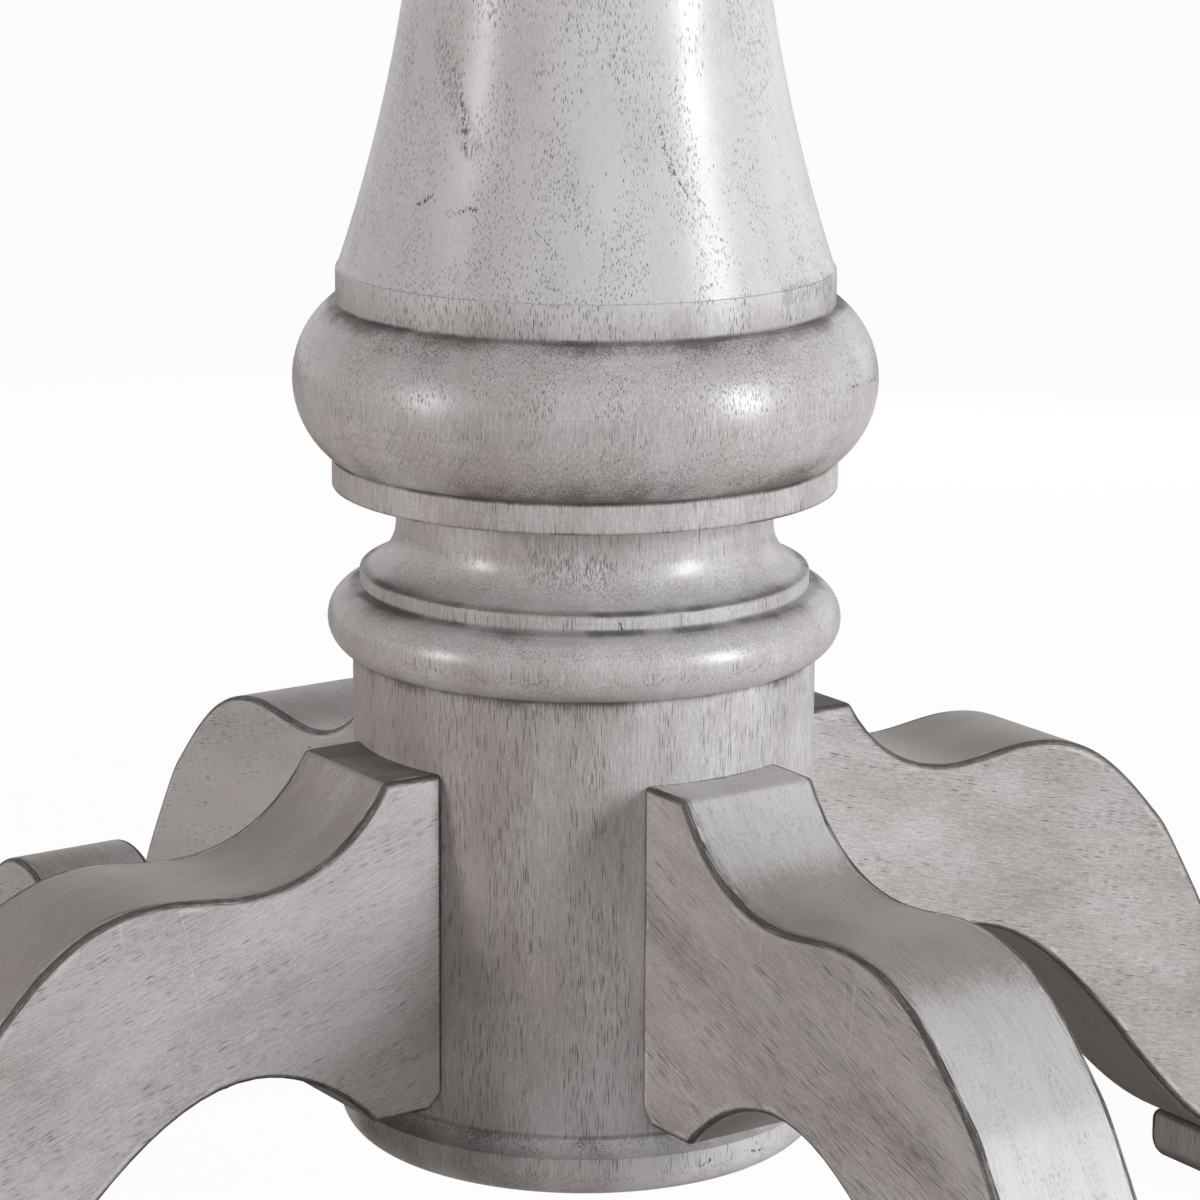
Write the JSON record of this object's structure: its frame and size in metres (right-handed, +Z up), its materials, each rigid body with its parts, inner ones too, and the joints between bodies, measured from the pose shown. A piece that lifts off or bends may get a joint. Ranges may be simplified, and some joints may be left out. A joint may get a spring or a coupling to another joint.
{
  "type": "pedestal table base",
  "caption": "Painted wooden pedestal for a table: a turned column with bold mouldings on splayed S-curved legs with round toes and foot pads.",
  "frame": {"origin": "on the floor under the column's axis, level with the undersides of the glides", "axes": "+Z up along the column's axis; +X along the right leg, +Y along the back leg, -X along the left leg, -Y along the front leg"},
  "size_m": [1.003, 1.003, 0.7236],
  "materials": {
    "painted_column": "satin off-white paint with a wiped brown glaze",
    "painted_leg": "satin off-white paint with a wiped brown glaze, rubbed at the edges",
    "painted_pad": "satin off-white paint with a wiped brown glaze",
    "plate_wood": "satin off-white paint",
    "steel": "zinc plated",
    "glide_plastic": "smooth moulded"
  },
  "bodies": {
    "root": {"bolt_nuts": "steel", "bolt_washers": "steel", "floor_glide_back": "glide_plastic", "floor_glide_front": "glide_plastic", "floor_glide_left": "glide_plastic", "floor_glide_right": "glide_plastic", "foot_pad_back": "painted_pad", "foot_pad_front": "painted_pad", "foot_pad_left": "painted_pad", "foot_pad_right": "painted_pad", "hanger_bolts": "steel", "leg_back": "painted_leg", "leg_front": "painted_leg", "leg_left": "painted_leg", "leg_right": "painted_leg", "pad_screws": "steel", "plate_screws": "steel", "top_plate": "plate_wood", "turned_column": "painted_column"}
  },
  "joints": []
}
